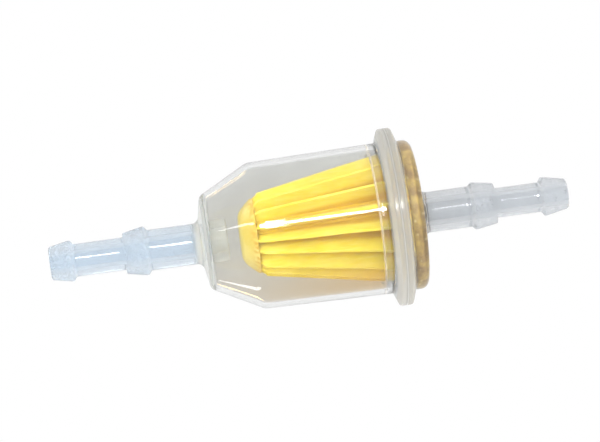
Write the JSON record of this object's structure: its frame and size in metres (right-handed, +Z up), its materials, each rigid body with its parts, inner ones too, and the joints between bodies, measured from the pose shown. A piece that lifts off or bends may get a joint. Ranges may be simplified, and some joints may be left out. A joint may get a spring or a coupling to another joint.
{
  "type": "fuel filter",
  "caption": "In-line fuel filter for small engines: clear welded bowl and cap around a pleated paper cone, with a stepped hose barb at each end.",
  "frame": {"origin": "on the flow axis, halfway between the inlet end and the outlet end", "axes": "+X along the flow axis, from the inlet to the outlet; +Z up with the filter level in its fuel line"},
  "size_m": [0.105, 0.0358, 0.036],
  "materials": {
    "clear_bowl": "clear, faintly bluish moulded nylon with a smooth gloss",
    "clear_cap": "clear moulded nylon, milkier in the flange",
    "weld": "frosted plastic, melted and set",
    "filter_paper": "resin-treated yellow filter paper, matt and fibrous",
    "seam_glue": "thin set glue",
    "tip_resin": "yellow moulded resin, satin",
    "potting": "amber set adhesive with small bubbles"
  },
  "bodies": {
    "root": {"bowl": "clear_bowl", "cap": "clear_cap", "weld_seam": "weld", "filter_paper": "filter_paper", "paper_seam": "seam_glue", "element_tip": "tip_resin", "potting": "potting"}
  },
  "joints": []
}
